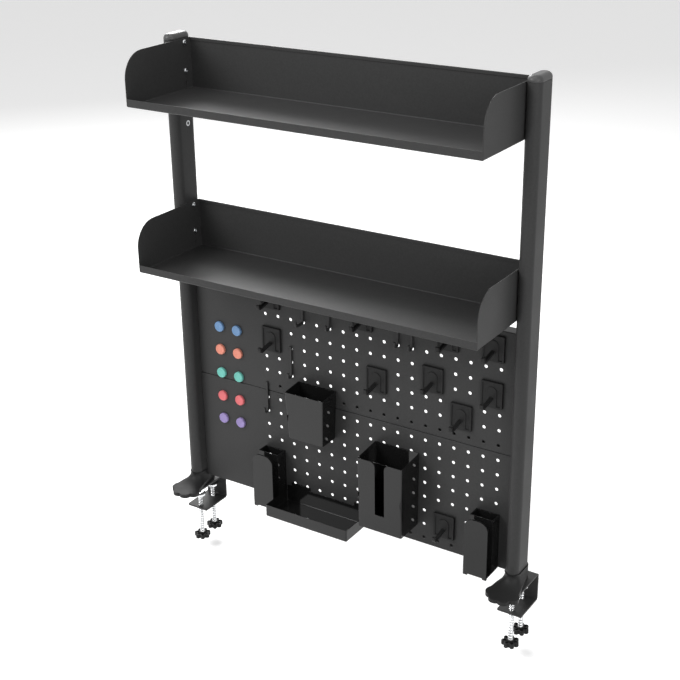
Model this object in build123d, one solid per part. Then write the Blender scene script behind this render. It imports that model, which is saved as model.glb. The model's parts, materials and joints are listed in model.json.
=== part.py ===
from build123d import *
import os
from math import asin, cos, radians, sin

# Organizer that clamps on the rear edge of a desk: two oval posts, two folded shelves, a pegboard of two
# panels, and the cups, tray, holders, hooks and magnets that hang on it. Millimetres.
# Origin: on the desk surface, midway between the clamps, in the plane of the pegboard's front face.
# +X is to the user's right, +Y away from the user, +Z up.

# ---- Posts ----
POST_GAP = 594.0            # between the inner faces of the two posts
POST_WIDTH = 22.5
POST_DEPTH = 48.0
POST_WALL = 1.5
POST_Y = 1.0                # the post's centre, behind the board's front face
CAP_HEIGHT = 9.5
CAP_ROUND = 7.5
CAP_STEM = 12.0
CAP_STEM_CLEARANCE = 0.15
CAP_STEM_GAP = 1.0          # on each side of the insert
CAP_SEAM = 0.6              # chamfer that leaves a fine line between cap and post

# ---- Clamp brackets, one under each post ----
BRACKET_WIDTH = 42.0
BRACKET_PLATE = 3.0
JAW_HEIGHT = 43.5
BRACKET_BACK = 41.0         # outer face of the web
UPPER_REACH = 64.0          # length of the plate on the desk, from the web's outer face
LOWER_REACH = 60.5
BRACKET_BEND = 5.0          # outer radius
BRACKET_CORNER = 2.0

# ---- Clamp screws: rod, swivelling pad and star knob ----
CLAMP_SCREWS = {"front": (-9.0, -20.0), "rear": (27.0, -17.0)}  # y, and height of the pad's top
ROD_RADIUS = 4.0
RUNNING_CLEARANCE = 0.05    # radial, of each turning rod in its hole
PAD_RADIUS = 10.0
PAD_DISC = 3.5
PAD_HUB_RADIUS = 6.0
PAD_HUB = 3.5
SPIGOT_RADIUS = 2.5
SPIGOT_LENGTH = 4.5
SPIGOT_END_PLAY = 0.2
SHOULDER_PLAY = 0.2
KNOB_DROP = 81.5            # from the pad's top to the knob's
KNOB_HEIGHT = 8.0
KNOB_LOBES = 7
KNOB_CORE_RADIUS = 10.6
KNOB_LOBE_RADIUS = 3.4
KNOB_LOBE_CIRCLE = 11.0
KNOB_BOSS_RADIUS = 6.8
KNOB_BOSS_HEIGHT = 2.0
KNOB_CHAMFER = 0.9
KNOB_FLOOR = 1.5

# ---- Feet: a moulded paw round the bottom of each post ----
FOOT_TOP = 28.0
FOOT_WALL = 1.4
FOOT_CLEARANCE = 0.2
FOOT_FRONT_CENTRE = -41.0   # centre of the toes, from the post's centre
FOOT_FRONT_RADIUS = 30.0
FOOT_EDGE = 6.0             # height where the flare meets the toes
FOOT_LEVELS = (0.0, 0.14, 0.32, 0.6, 1.0)
FOOT_FLARE = 4.0            # power of the concave flare
TOE_ANGLES = (-157.5, -112.5, -67.5, -22.5)
TOE_RADIUS = 10.8
TOE_CIRCLE = 18.0
PLUG_HEIGHT = 20.0
PLUG_CLEARANCE = 0.1
BASE_SCREW_RADIUS = 2.5
BASE_SCREW_HEAD_RADIUS = 4.8
BASE_SCREW_SPACING = 20.0
BASE_SCREW_LENGTH = 16.0
BASE_SCREW_SUNK = 0.2

# ---- Shelves, folded from sheet ----
SHELF_BOTTOMS = {"shelf_middle": 442.0, "shelf_top": 705.0}
SHELF_FRONT = -136.0
SHELF_BACK = 20.0           # front face of the back wall
SHELF_HEIGHT = 80.0
SHELF_LIP = 12.5
SHELF_SHEET = 1.2
SHELF_BEND = 2.6            # outer radius
SHELF_CORNER = 40.0         # round of the end walls at the front
SHELF_HEM = 5.0
SHELF_SCREW_Y = 4.5
SHELF_LOW_SCREW = 30.0       # above the shelf's underside
SHELF_HIGH_SCREW = 6.0      # below the shelf's top edge
SHELF_SLOT_RISE = 10.0
SHELF_SLOT_HEIGHT = 8.5
SHELF_SLOT_WIDTH = 3.5
SPARE_INSERT_DROP = 54.0    # below the top shelf

# ---- Screws and threaded inserts in the posts ----
SCREW_RADIUS = 2.4
SCREW_HEAD_RADIUS = 4.2
SCREW_HEAD_HEIGHT = 2.6
SCREW_LENGTH = 9.0          # under the head
SCREW_HOLE_RADIUS = 2.6
INSERT_RADIUS = 4.5
INSERT_BORE_RADIUS = 2.5
INSERT_LENGTH = 9.0

# ---- Pegboard ----
PITCH = 25.0
COLUMNS = 18
PANEL_ROWS = 8
COLUMN_0_X = -155.5
ROW_0_Z = 355.0
FIRST_ROWS = {"upper": -2, "lower": 6}
HOLE_RADIUS = 2.8
PANEL_GAP = 0.6
PANEL_SHEET = 1.2
PANEL_DEPTH = 20.0
PANEL_BEND = 1.6            # outer radius
PANEL_LIP = 8.0             # rim turned in at the back of the folded edges
BOARD_SCREW_Y = 9.0
BOARD_SCREW_SPREAD = 150.0

# ---- What hangs on the board ----
BOARD_CLEARANCE = 0.4       # between the board and what lifts off it
TAB_WIDTH = 3.2
TAB_HEIGHT = 2.6
TAB_LENGTH = 7.0
PRONG_RISE = 6.0            # upturned end of a hook's prong behind the board
PRONG_INNER_BEND = 0.4

PLATE_HOOKS = ((0, 1), (8, 2), (12, 1), (14, 3), (16, 1), (16, -2), (13, 11), (0, -2), (7, -2), (13, -2))
PLATE_WIDTH = 36.0
PLATE_ABOVE = 4.0           # above the centre of its upper holes
PLATE_BELOW = 13.0          # below the centre of its lower holes
PLATE_THICKNESS = 4.5
PLATE_CORNER = 1.5
PLATE_RIM = 3.0
PLATE_RECESS = 1.5
TONGUE_WIDTH = 17.0
TONGUE_RISE = 31.0
ARM_RISE = 16.0
ARM_REACH = 30.0
ARM_DROP = 6.5
ARM_TIP = 2.0               # above the arm's root
ARM_TIP_LEAN = 1.0
ARM_WIDTH = 6.0
ARM_THICKNESS = 4.0

SLIM_HOOKS = ((2, 2), (0, 5), (5, -2), (10, -2), (11, -2))
SLIM_THICKNESS = 3.4
SLIM_SPAN = 50.0
SLIM_REACH = 9.4
SLIM_TIP = 9.0
SLIM_BEND = 4.2             # radius of the centre line
LONG_HOOK = (3, -2)
LONG_REACH = 20.0

MAGNET_X = (-250.0, -214.0)
MAGNET_Z = {"blue": 312.5, "peach": 271.0, "mint": 228.0, "coral": 184.5, "lavender": 142.0}
MAGNET_RADIUS = 9.0
MAGNET_HEIGHT = 4.5
MAGNET_DISH_RADIUS = 6.6
MAGNET_DISH = 0.8
MAGNET_CHAMFER = 1.0

CUP_WALL = 1.2
CUP_CORNER = 2.0
PLAIN_CUP_PEGS = ((3, 5), (5, 5))
PLAIN_CUP_WIDTH = 74.0
PLAIN_CUP_FRONT = -42.0
PLAIN_CUP_BOTTOM = 163.5
PLAIN_CUP_TOP = 246.0        # at the front
PLAIN_CUP_BACK_TOP = 249.5
PLAIN_CUP_TAPER = 4.0
SLOTTED_CUP_PEGS = ((9, 8), (11, 8))
SLOTTED_CUP_WIDTH = 81.0
SLOTTED_CUP_FRONT = -56.0
SLOTTED_CUP_BOTTOM = 51.5
SLOTTED_CUP_TOP = 174.5      # at the front
SLOTTED_CUP_BACK_TOP = 180.0
SLOTTED_CUP_TAPER = 1.0
CUP_SLOT_WIDTH = 17.0
CUP_SLOT_RISE = 29.5
CUP_SLOT_SHOULDER = 9.0
CUP_SLOT_CORNER = 1.5

TRAY_PEGS = ((2, 13), (7, 13))
TRAY_WIDTH = 160.0
TRAY_GAP = 0.5              # beside the left holder
TRAY_FRONT = -64.0
TRAY_BOTTOM = 18.0
TRAY_TOP = 39.5
TRAY_BACK_TOP = 48.0
TRAY_TABS = ((2, 3), (7, 7))
TRAY_TAB_TOP = 55.0
TRAY_TAB_MARGIN = 6.0
TRAY_WALL = 1.2
TRAY_CORNER = 2.5

HOLDER_COLUMNS = {"holder_left": (0, 1), "holder_right": (16, 17)}
HOLDER_PEG_ROW = 10
HOLDER_WIDTH = 40.0
HOLDER_FRONT = -41.0
HOLDER_PLATE = 3.0
HOLDER_BOTTOM = 18.0
HOLDER_TOP = 115.5
HOLDER_ARCH = 15.0
HOLDER_FOOT = 2.5
HOLDER_FOOT_WIDTH = 7.0
HOLDER_SLOT = 15.0
HOLDER_FLOOR = 4.0
HOLDER_BODY_TOP = 113.0
HOLDER_BODY_WALL = 2.0

# ---- Places that follow from the sizes above ----
POST_TOP = SHELF_BOTTOMS["shelf_top"] + SHELF_HEIGHT
SHELF_SCREW_RISES = (SHELF_LOW_SCREW, SHELF_HEIGHT - SHELF_HIGH_SCREW)
LEFT = -1
RIGHT = 1
SIDES = {"left": LEFT, "right": RIGHT}
POST_X = (POST_GAP + POST_WIDTH) / 2
FROM_BOTTOM = (Align.CENTER, Align.CENTER, Align.MIN)
FROM_TOP = (Align.CENTER, Align.CENTER, Align.MAX)


def column_x(column):
    """X of a column of holes."""
    return COLUMN_0_X + column * PITCH


def row_z(row):
    """Z of a row of holes; rows count downward."""
    return ROW_0_Z - row * PITCH


def oval(width, depth):
    """Flat oval in plan, full-round at the front and back."""
    return SlotOverall(depth, width, rotation=90)


def bent_strip(points, thickness, radius, width):
    """Strip whose centre line runs through (y, z) points with rounded bends, centred on X = 0."""
    outline = trace(FilletPolyline(*points, radius=radius), thickness)
    return extrude(Plane.YZ * outline, width / 2, both=True)


def round_bar(radius, length):
    """Cylinder that starts at the origin and runs along +Z."""
    return Cylinder(radius, length, align=FROM_BOTTOM)


# ---- Frame ----

def shelf_screw_places():
    """(y, z) of the screws that hold the shelves to a post."""
    heights = [bottom + rise for bottom in SHELF_BOTTOMS.values() for rise in SHELF_SCREW_RISES]
    return [(SHELF_SCREW_Y, z) for z in heights]


def insert_places():
    """(y, z) of a post's threaded inserts: the shelf screws and one spare under the top shelf."""
    spare = (SHELF_SCREW_Y, SHELF_BOTTOMS["shelf_top"] - SPARE_INSERT_DROP)
    return shelf_screw_places() + [spare]


def panel_height():
    """Height of one panel: its rows' share of the grid less the seam."""
    return PANEL_ROWS * PITCH - PANEL_GAP


def panel_centre(first_row):
    """Z of the middle of a panel whose top row is first_row."""
    return row_z(first_row + (PANEL_ROWS - 1) / 2)


def board_screw_places():
    """(y, z) of the screws that hold the panels to a post."""
    centres = [panel_centre(first_row) for first_row in FIRST_ROWS.values()]
    return [(BOARD_SCREW_Y, z + sign * BOARD_SCREW_SPREAD / 2) for z in centres for sign in (-1, 1)]


def into_post(side, y, z, shape, inset=0.0):
    """Turn a shape on +Z to point into a post, from its inner face or inset from it."""
    return Pos(side * (POST_GAP / 2 - inset), y, z) * Rot(0, side * 90, 0) * shape


def post(side):
    """Oval tube with holes in its inner face."""
    walls = oval(POST_WIDTH, POST_DEPTH) - oval(POST_WIDTH - 2 * POST_WALL, POST_DEPTH - 2 * POST_WALL)
    tube = Pos(side * POST_X, POST_Y, BRACKET_PLATE) * extrude(walls, POST_TOP - BRACKET_PLATE)
    for y, z in insert_places():
        tube -= into_post(side, y, z, round_bar(INSERT_RADIUS, POST_WALL))
    for y, z in board_screw_places():
        tube -= into_post(side, y, z, round_bar(SCREW_RADIUS, POST_WALL))
    return tube


def post_cap(side):
    """Domed plug on the top of a post, its stem split to clear the uppermost insert."""
    dome = extrude(oval(POST_WIDTH, POST_DEPTH), CAP_HEIGHT)
    dome = fillet(dome.edges().group_by(Axis.Z)[-1], CAP_ROUND)
    dome = chamfer(dome.edges().group_by(Axis.Z)[0], CAP_SEAM)
    shrink = 2 * (POST_WALL + CAP_STEM_CLEARANCE)
    stem = extrude(oval(POST_WIDTH - shrink, POST_DEPTH - shrink), -CAP_STEM)
    gap = Box(POST_WIDTH, 2 * (INSERT_RADIUS + CAP_STEM_GAP), CAP_STEM, align=FROM_TOP)
    stem -= Pos(0, SHELF_SCREW_Y - POST_Y, 0) * gap
    return Pos(side * POST_X, POST_Y, POST_TOP) * (dome + stem)


def threaded_inserts():
    """Flush threaded inserts in the posts' inner faces."""
    insert = round_bar(INSERT_RADIUS, INSERT_LENGTH) - round_bar(INSERT_BORE_RADIUS, INSERT_LENGTH)
    return [into_post(side, y, z, insert) for side in SIDES.values() for y, z in insert_places()]


def side_screws(places, sheet):
    """Pan-head screws through a sheet into both posts."""
    shank = round_bar(SCREW_RADIUS, SCREW_LENGTH)
    screw = shank + Cylinder(SCREW_HEAD_RADIUS, SCREW_HEAD_HEIGHT, align=FROM_TOP)
    return [into_post(side, y, z, screw, sheet) for side in SIDES.values() for y, z in places]


def base_screw_offsets():
    """Y of the screws that hold a post on its bracket."""
    return [POST_Y + sign * BASE_SCREW_SPACING / 2 for sign in (-1, 1)]


def base_plug(side):
    """Plug inside a post's foot that takes the screws from under the bracket."""
    shrink = 2 * (POST_WALL + PLUG_CLEARANCE)
    plug = extrude(oval(POST_WIDTH - shrink, POST_DEPTH - shrink), PLUG_HEIGHT)
    plug = Pos(side * POST_X, POST_Y, BRACKET_PLATE) * plug
    for y in base_screw_offsets():
        plug -= Pos(side * POST_X, y, 0) * round_bar(BASE_SCREW_RADIUS, BASE_SCREW_LENGTH)
    return plug


def base_screw():
    """Countersunk screw, its head sunk just below the face that lies on the desk."""
    head_height = BRACKET_PLATE - BASE_SCREW_SUNK
    head = Cone(BASE_SCREW_HEAD_RADIUS, BASE_SCREW_RADIUS, head_height, align=FROM_BOTTOM)
    shank = round_bar(BASE_SCREW_RADIUS, BASE_SCREW_LENGTH - BASE_SCREW_SUNK)
    return Pos(0, 0, BASE_SCREW_SUNK) * (head + shank)


def base_screws():
    """The screws of both posts."""
    return [Pos(side * POST_X, y, 0) * base_screw() for side in SIDES.values() for y in base_screw_offsets()]


def clamp_bracket(side):
    """C-shaped bracket bent from plate: upper arm on the desk, web behind its edge, lower arm below."""
    web = BRACKET_BACK - BRACKET_PLATE / 2
    upper = BRACKET_PLATE / 2
    lower = -JAW_HEIGHT - BRACKET_PLATE / 2
    line = [
        (BRACKET_BACK - UPPER_REACH, upper),
        (web, upper),
        (web, lower),
        (BRACKET_BACK - LOWER_REACH, lower),
    ]
    bracket = bent_strip(line, BRACKET_PLATE, BRACKET_BEND - BRACKET_PLATE / 2, BRACKET_WIDTH)
    front_corners = bracket.edges().filter_by(Axis.Z).filter_by(lambda edge: edge.center().Y < 0)
    bracket = fillet(front_corners, BRACKET_CORNER)
    for y, _ in CLAMP_SCREWS.values():
        bracket -= Pos(0, y, -JAW_HEIGHT) * Cylinder(ROD_RADIUS + RUNNING_CLEARANCE, 3 * BRACKET_PLATE)
    for y in base_screw_offsets():
        bracket -= Pos(0, y, 0) * (base_screw() + round_bar(BASE_SCREW_HEAD_RADIUS, BASE_SCREW_SUNK))
    return Pos(side * POST_X, 0, 0) * bracket


def flare_outline(front_radius, front_y, rear_radius, rear_y):
    """Outline in plan round two circles on the Y axis and their outer tangents."""
    lean = asin((front_radius - rear_radius) / (rear_y - front_y))
    front = (front_radius * cos(lean), front_y + front_radius * sin(lean))
    rear = (rear_radius * cos(lean), rear_y + rear_radius * sin(lean))
    edges = Line(front, rear)
    edges += ThreePointArc(rear, (0, rear_y + rear_radius), (-rear[0], rear[1]))
    edges += Line((-rear[0], rear[1]), (-front[0], front[1]))
    edges += ThreePointArc((-front[0], front[1]), (0, front_y - front_radius), front)
    return make_face(edges)


def foot(side):
    """Moulded paw: a collar round the post that flares concavely to four toes on the desk.

    It is hollowed for the bracket's upper arm and notched for the corner of the lower panel.
    """
    collar = POST_WIDTH / 2 + FOOT_CLEARANCE + FOOT_WALL
    straight = (POST_DEPTH - POST_WIDTH) / 2
    sections = []
    for level in FOOT_LEVELS:
        spread = (1 - level) ** FOOT_FLARE
        radius = collar + spread * (FOOT_FRONT_RADIUS - collar)
        centre = -straight + spread * (FOOT_FRONT_CENTRE + straight)
        height = FOOT_EDGE + level * (FOOT_TOP - FOOT_EDGE)
        sections.append(Pos(0, 0, height) * flare_outline(radius, centre, collar, straight))
    base = flare_outline(FOOT_FRONT_RADIUS, FOOT_FRONT_CENTRE, collar, straight)
    flare = loft(sections) + extrude(base, FOOT_EDGE)
    toe = Pos(TOE_CIRCLE, 0) * Circle(TOE_RADIUS)
    toes = [Pos(0, FOOT_FRONT_CENTRE) * Rot(0, 0, angle) * toe for angle in TOE_ANGLES]
    heel = flare_outline(TOE_CIRCLE + TOE_RADIUS / 2, FOOT_FRONT_CENTRE, collar, straight)
    paw = flare & extrude(heel + toes, FOOT_TOP)
    hole = oval(POST_WIDTH + 2 * FOOT_CLEARANCE, POST_DEPTH + 2 * FOOT_CLEARANCE)
    paw -= extrude(hole, FOOT_TOP)
    plate_front = BRACKET_BACK - UPPER_REACH - FOOT_CLEARANCE - POST_Y
    pocket = Box(BRACKET_WIDTH + 2 * FOOT_CLEARANCE, POST_DEPTH * 2, BRACKET_PLATE,
                 align=(Align.CENTER, Align.MIN, Align.MIN))
    paw = Pos(side * POST_X, POST_Y, 0) * (paw - Pos(0, plate_front, 0) * pocket)
    panel_bottom = panel_centre(FIRST_ROWS["lower"]) - panel_height() / 2
    notch = Box(POST_GAP, POST_DEPTH, FOOT_TOP, align=(Align.CENTER, Align.MIN, Align.MIN))
    return paw - Pos(0, -FOOT_CLEARANCE, panel_bottom - FOOT_CLEARANCE) * notch


# ---- Clamp screws ----

def clamp_pad(x, y, top):
    """Round pad with a blind socket for the rod's spigot."""
    hub_bottom = top - PAD_DISC - PAD_HUB
    pad = Pos(0, 0, top) * Cylinder(PAD_RADIUS, PAD_DISC, align=FROM_TOP)
    pad += Pos(0, 0, hub_bottom) * round_bar(PAD_HUB_RADIUS, PAD_HUB)
    socket = round_bar(SPIGOT_RADIUS + RUNNING_CLEARANCE, SPIGOT_LENGTH + SPIGOT_END_PLAY)
    pad -= Pos(0, 0, hub_bottom) * socket
    return Pos(x, y, 0) * pad


def clamp_rod(x, y, top):
    """Threaded rod with a spigot at the top; its shoulder carries the pad whose top is given."""
    shoulder = top - PAD_DISC - PAD_HUB - SHOULDER_PLAY
    bottom = top - KNOB_DROP - KNOB_HEIGHT + KNOB_FLOOR
    rod = Pos(0, 0, bottom) * round_bar(ROD_RADIUS, shoulder - bottom)
    rod += Pos(0, 0, shoulder) * round_bar(SPIGOT_RADIUS, SPIGOT_LENGTH + SHOULDER_PLAY)
    return Pos(x, y, 0) * rod


def star_knob(x, y, top):
    """Lobed knob with a boss round the rod, on the screw of the pad whose top is given."""
    lobes = PolarLocations(KNOB_LOBE_CIRCLE, KNOB_LOBES)
    outline = Circle(KNOB_CORE_RADIUS) + [place * Circle(KNOB_LOBE_RADIUS) for place in lobes]
    knob = extrude(outline, -KNOB_HEIGHT)
    knob = chamfer(knob.edges().group_by(Axis.Z)[-1], KNOB_CHAMFER)
    knob += Cone(KNOB_BOSS_RADIUS, KNOB_BOSS_RADIUS - KNOB_CHAMFER, KNOB_BOSS_HEIGHT, align=FROM_BOTTOM)
    socket = round_bar(ROD_RADIUS, KNOB_HEIGHT + KNOB_BOSS_HEIGHT)
    knob -= Pos(0, 0, KNOB_FLOOR - KNOB_HEIGHT) * socket
    return Pos(x, y, top - KNOB_DROP) * knob


# ---- Shelves ----

def shelf(bottom):
    """Folded tray: floor, back wall with a hem, low front lip and end walls rounded at the front."""
    depth = SHELF_BACK + SHELF_SHEET - SHELF_FRONT
    block = Box(POST_GAP, depth, SHELF_HEIGHT, align=(Align.CENTER, Align.MIN, Align.MIN))
    block = fillet(block.edges().group_by(Axis.Z)[0], SHELF_BEND)
    tray = offset(block, amount=-SHELF_SHEET, openings=block.faces().sort_by(Axis.Z)[-1])
    inside = POST_GAP - 2 * SHELF_SHEET
    tray -= Pos(0, 0, SHELF_LIP) * Box(inside, 2 * SHELF_SHEET, SHELF_HEIGHT, align=FROM_BOTTOM)
    round_centre = Pos(SHELF_CORNER, SHELF_HEIGHT - SHELF_CORNER)
    corner = Pos(0, SHELF_HEIGHT) * Rectangle(SHELF_CORNER, SHELF_CORNER, align=(Align.MIN, Align.MAX))
    tray -= extrude(Plane.YZ * (corner - round_centre * Circle(SHELF_CORNER)), POST_GAP, both=True)
    hem = Box(inside, SHELF_SHEET, SHELF_HEM, align=(Align.CENTER, Align.MAX, Align.MAX))
    tray += Pos(0, SHELF_BACK - SHELF_FRONT, SHELF_HEIGHT) * hem
    screw_y = SHELF_SCREW_Y - SHELF_FRONT
    holes = [Pos(screw_y, rise) * Circle(SCREW_HOLE_RADIUS) for rise in SHELF_SCREW_RISES]
    slot = SlotOverall(SHELF_SLOT_HEIGHT, SHELF_SLOT_WIDTH, rotation=90)
    holes.append(Pos(screw_y, SHELF_SLOT_RISE) * slot)
    tray -= extrude(Plane.YZ * (Sketch() + holes), POST_GAP, both=True)
    return Pos(0, SHELF_FRONT, bottom) * tray


# ---- Pegboard ----

def pegboard_panel(first_row):
    """Panel folded back and in on all four sides, with its grid of peg holes."""
    block = Pos(0, 0, panel_centre(first_row)) * Box(POST_GAP, PANEL_DEPTH, panel_height(),
                                                     align=(Align.CENTER, Align.MIN, Align.CENTER))
    block = fillet(block.edges().group_by(Axis.Y)[0], PANEL_BEND)
    panel = offset(block, amount=-PANEL_SHEET, openings=block.faces().sort_by(Axis.Y)[-1])
    rim = Rectangle(POST_GAP, panel_height())
    rim -= Rectangle(POST_GAP - 2 * PANEL_LIP, panel_height() - 2 * PANEL_LIP)
    panel += Pos(0, PANEL_DEPTH, panel_centre(first_row)) * extrude(Plane.XZ * rim, PANEL_SHEET)
    rows = range(first_row, first_row + PANEL_ROWS)
    places = [Pos(column_x(column), row_z(row)) for row in rows for column in range(COLUMNS)]
    holes = Sketch() + [place * Circle(HOLE_RADIUS) for place in places]
    panel -= extrude(Plane.XZ * holes, PANEL_BEND, both=True)
    for y, z in board_screw_places():
        panel -= Pos(0, y, z) * Rot(0, 90, 0) * Cylinder(SCREW_HOLE_RADIUS, 2 * POST_GAP)
    return panel


# ---- Hooks and magnets ----

def peg_tabs(places):
    """Straight tabs that reach from the back of a lift-off piece through the holes."""
    reach = TAB_LENGTH + BOARD_CLEARANCE
    tab = Box(TAB_WIDTH, reach, TAB_HEIGHT, align=(Align.CENTER, Align.MIN, Align.CENTER))
    return [Pos(column_x(column), -BOARD_CLEARANCE, row_z(row)) * tab for column, row in places]


def prong(thickness):
    """Strip through a hole, turned up behind the board."""
    back = PANEL_SHEET + thickness
    line = [(-thickness / 2, 0), (back, 0), (back, PRONG_RISE)]
    return bent_strip(line, TAB_HEIGHT, TAB_HEIGHT / 2 + PRONG_INNER_BEND, TAB_WIDTH)


def plate_hook(column, row):
    """Rimmed plate over four holes, with an arched tongue and an arm that ends in an upturned tip."""
    height = PLATE_ABOVE + PITCH + PLATE_BELOW
    plate = Pos(0, PLATE_ABOVE - height / 2) * RectangleRounded(PLATE_WIDTH, height, PLATE_CORNER)
    body = extrude(Plane.XZ * plate, PLATE_THICKNESS)
    field = Pos(0, PLATE_ABOVE - height / 2) * Rectangle(PLATE_WIDTH - 2 * PLATE_RIM, height - 2 * PLATE_RIM)
    tongue_bottom = PLATE_ABOVE - height + PLATE_RIM
    arch = Pos(0, tongue_bottom + TONGUE_RISE - TONGUE_WIDTH / 2) * Circle(TONGUE_WIDTH / 2)
    stem = Pos(0, tongue_bottom) * Rectangle(TONGUE_WIDTH, TONGUE_RISE - TONGUE_WIDTH / 2,
                                             align=(Align.CENTER, Align.MIN))
    recess = extrude(Plane.XZ * (field - arch - stem), PLATE_RECESS)
    body -= Pos(0, PLATE_RECESS - PLATE_THICKNESS, 0) * recess
    arm_z = PLATE_ABOVE - height + ARM_RISE
    tip_y = -PLATE_THICKNESS - ARM_REACH
    tip = (tip_y - ARM_TIP_LEAN, arm_z + ARM_TIP)
    line = [(-PLATE_THICKNESS / 2, arm_z), (tip_y, arm_z - ARM_DROP), tip]
    body += bent_strip(line, ARM_THICKNESS, ARM_THICKNESS, ARM_WIDTH)
    for sign in (-1, 1):
        body += Pos(sign * PITCH / 2, 0, 0) * prong(TAB_HEIGHT)
    return Pos(column_x(column) + PITCH / 2, 0, row_z(row)) * body


def slim_hook(place, reach):
    """Narrow hook bent from strip: prong, leg over two rows and a J at the bottom."""
    leg = -SLIM_THICKNESS / 2
    points = [
        (leg, SLIM_THICKNESS),
        (leg, -SLIM_SPAN),
        (leg - reach, -SLIM_SPAN),
        (leg - reach, SLIM_TIP - SLIM_SPAN),
    ]
    column, row = place
    body = bent_strip(points, SLIM_THICKNESS, SLIM_BEND, SLIM_THICKNESS) + prong(SLIM_THICKNESS)
    return Pos(column_x(column), 0, row_z(row)) * body


def magnet(x, z):
    """Round magnet with a chamfered edge and a dished face."""
    button = Cylinder(MAGNET_RADIUS, MAGNET_HEIGHT, align=FROM_BOTTOM)
    button = chamfer(button.edges().group_by(Axis.Z)[-1], MAGNET_CHAMFER)
    dish = Cone(MAGNET_DISH_RADIUS - MAGNET_DISH, MAGNET_DISH_RADIUS, MAGNET_DISH, align=FROM_TOP)
    return Pos(x, 0, z) * Rot(90, 0, 0) * (button - Pos(0, 0, MAGNET_HEIGHT) * dish)


# ---- Cups, tray and holders ----

def cup(pegs, width, front, bottom, tops, taper):
    """Tapered cup hung on two tabs; its rim rises from the first of tops at the front to the second."""
    back = -BOARD_CLEARANCE
    front_top, back_top = tops
    centre = (column_x(pegs[0][0]) + column_x(pegs[1][0])) / 2
    mouth = Pos(centre, back, back_top) * cup_section(width, back - front)
    floor = Pos(centre, back, bottom) * cup_section(width - 2 * taper, back - front - taper)
    block = loft([floor, mouth])
    hollow = offset(block, amount=-CUP_WALL, openings=block.faces().sort_by(Axis.Z)[-1])
    above_rim = make_face(Polyline((front, front_top), (back, back_top), (front, back_top), close=True))
    return hollow - Pos(centre, 0, 0) * extrude(Plane.YZ * above_rim, width, both=True) + peg_tabs(pegs)


def cup_section(width, depth):
    """Rectangle in plan with small corners, its back edge on Y = 0."""
    return Pos(0, -depth / 2) * RectangleRounded(width, depth, CUP_CORNER)


def plain_cup():
    """Cup for pens."""
    return cup(PLAIN_CUP_PEGS, PLAIN_CUP_WIDTH, PLAIN_CUP_FRONT, PLAIN_CUP_BOTTOM,
               (PLAIN_CUP_TOP, PLAIN_CUP_BACK_TOP), PLAIN_CUP_TAPER)


def slotted_cup():
    """Tall cup with a slot down its front, its shoulders rounded."""
    body = cup(SLOTTED_CUP_PEGS, SLOTTED_CUP_WIDTH, SLOTTED_CUP_FRONT, SLOTTED_CUP_BOTTOM,
               (SLOTTED_CUP_TOP, SLOTTED_CUP_BACK_TOP), SLOTTED_CUP_TAPER)
    centre = (column_x(SLOTTED_CUP_PEGS[0][0]) + column_x(SLOTTED_CUP_PEGS[1][0])) / 2
    slot_bottom = SLOTTED_CUP_BOTTOM + CUP_SLOT_RISE
    height = SLOTTED_CUP_TOP - slot_bottom
    slot = Pos(0, height / 2) * Rectangle(CUP_SLOT_WIDTH, height)
    slot = fillet(slot.vertices().group_by(Axis.Y)[0], CUP_SLOT_CORNER)
    for sign in (-1, 1):
        edge = sign * CUP_SLOT_WIDTH / 2
        shoulder = Pos(edge + sign * CUP_SLOT_SHOULDER / 2, height - CUP_SLOT_SHOULDER / 2)
        square = shoulder * Rectangle(CUP_SLOT_SHOULDER, CUP_SLOT_SHOULDER)
        round_centre = Pos(edge + sign * CUP_SLOT_SHOULDER, height - CUP_SLOT_SHOULDER)
        slot += square - round_centre * Circle(CUP_SLOT_SHOULDER)
    reach = -SLOTTED_CUP_FRONT
    cutter = extrude(Plane.XZ.offset(reach / 2) * slot, reach)
    return body - Pos(centre, 0, slot_bottom) * cutter


def tray():
    """Shallow tray beside the left holder, with a raised back and two higher tabs behind it."""
    back = -BOARD_CLEARANCE
    centre = holder_centre(HOLDER_COLUMNS["holder_left"]) + HOLDER_WIDTH / 2 + TRAY_GAP + TRAY_WIDTH / 2
    depth = back - TRAY_FRONT
    block = Box(TRAY_WIDTH, depth, TRAY_TOP - TRAY_BOTTOM, align=(Align.CENTER, Align.MAX, Align.MIN))
    block = fillet(block.edges().filter_by(Axis.Z) + block.edges().group_by(Axis.Z)[0], TRAY_CORNER)
    dish = offset(block, amount=-TRAY_WALL, openings=block.faces().sort_by(Axis.Z)[-1])
    wall = Box(TRAY_WIDTH - 2 * TRAY_CORNER, TRAY_WALL, TRAY_BACK_TOP - TRAY_BOTTOM - TRAY_CORNER,
               align=(Align.CENTER, Align.MAX, Align.MIN))
    body = Pos(centre, back, TRAY_BOTTOM) * (dish + Pos(0, 0, TRAY_CORNER) * wall)
    limit = TRAY_WIDTH / 2 - TRAY_CORNER
    for first, last in TRAY_TABS:
        start = max(column_x(first) - TRAY_TAB_MARGIN, centre - limit)
        end = min(column_x(last) + TRAY_TAB_MARGIN, centre + limit)
        tab = Box(end - start, TRAY_WALL, TRAY_TAB_TOP - TRAY_TOP, align=(Align.MIN, Align.MAX, Align.MIN))
        body += Pos(start, back, TRAY_TOP) * tab
    return body + peg_tabs(TRAY_PEGS)


def holder_centre(columns):
    """X of a holder's middle."""
    return (column_x(columns[0]) + column_x(columns[1])) / 2


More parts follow.
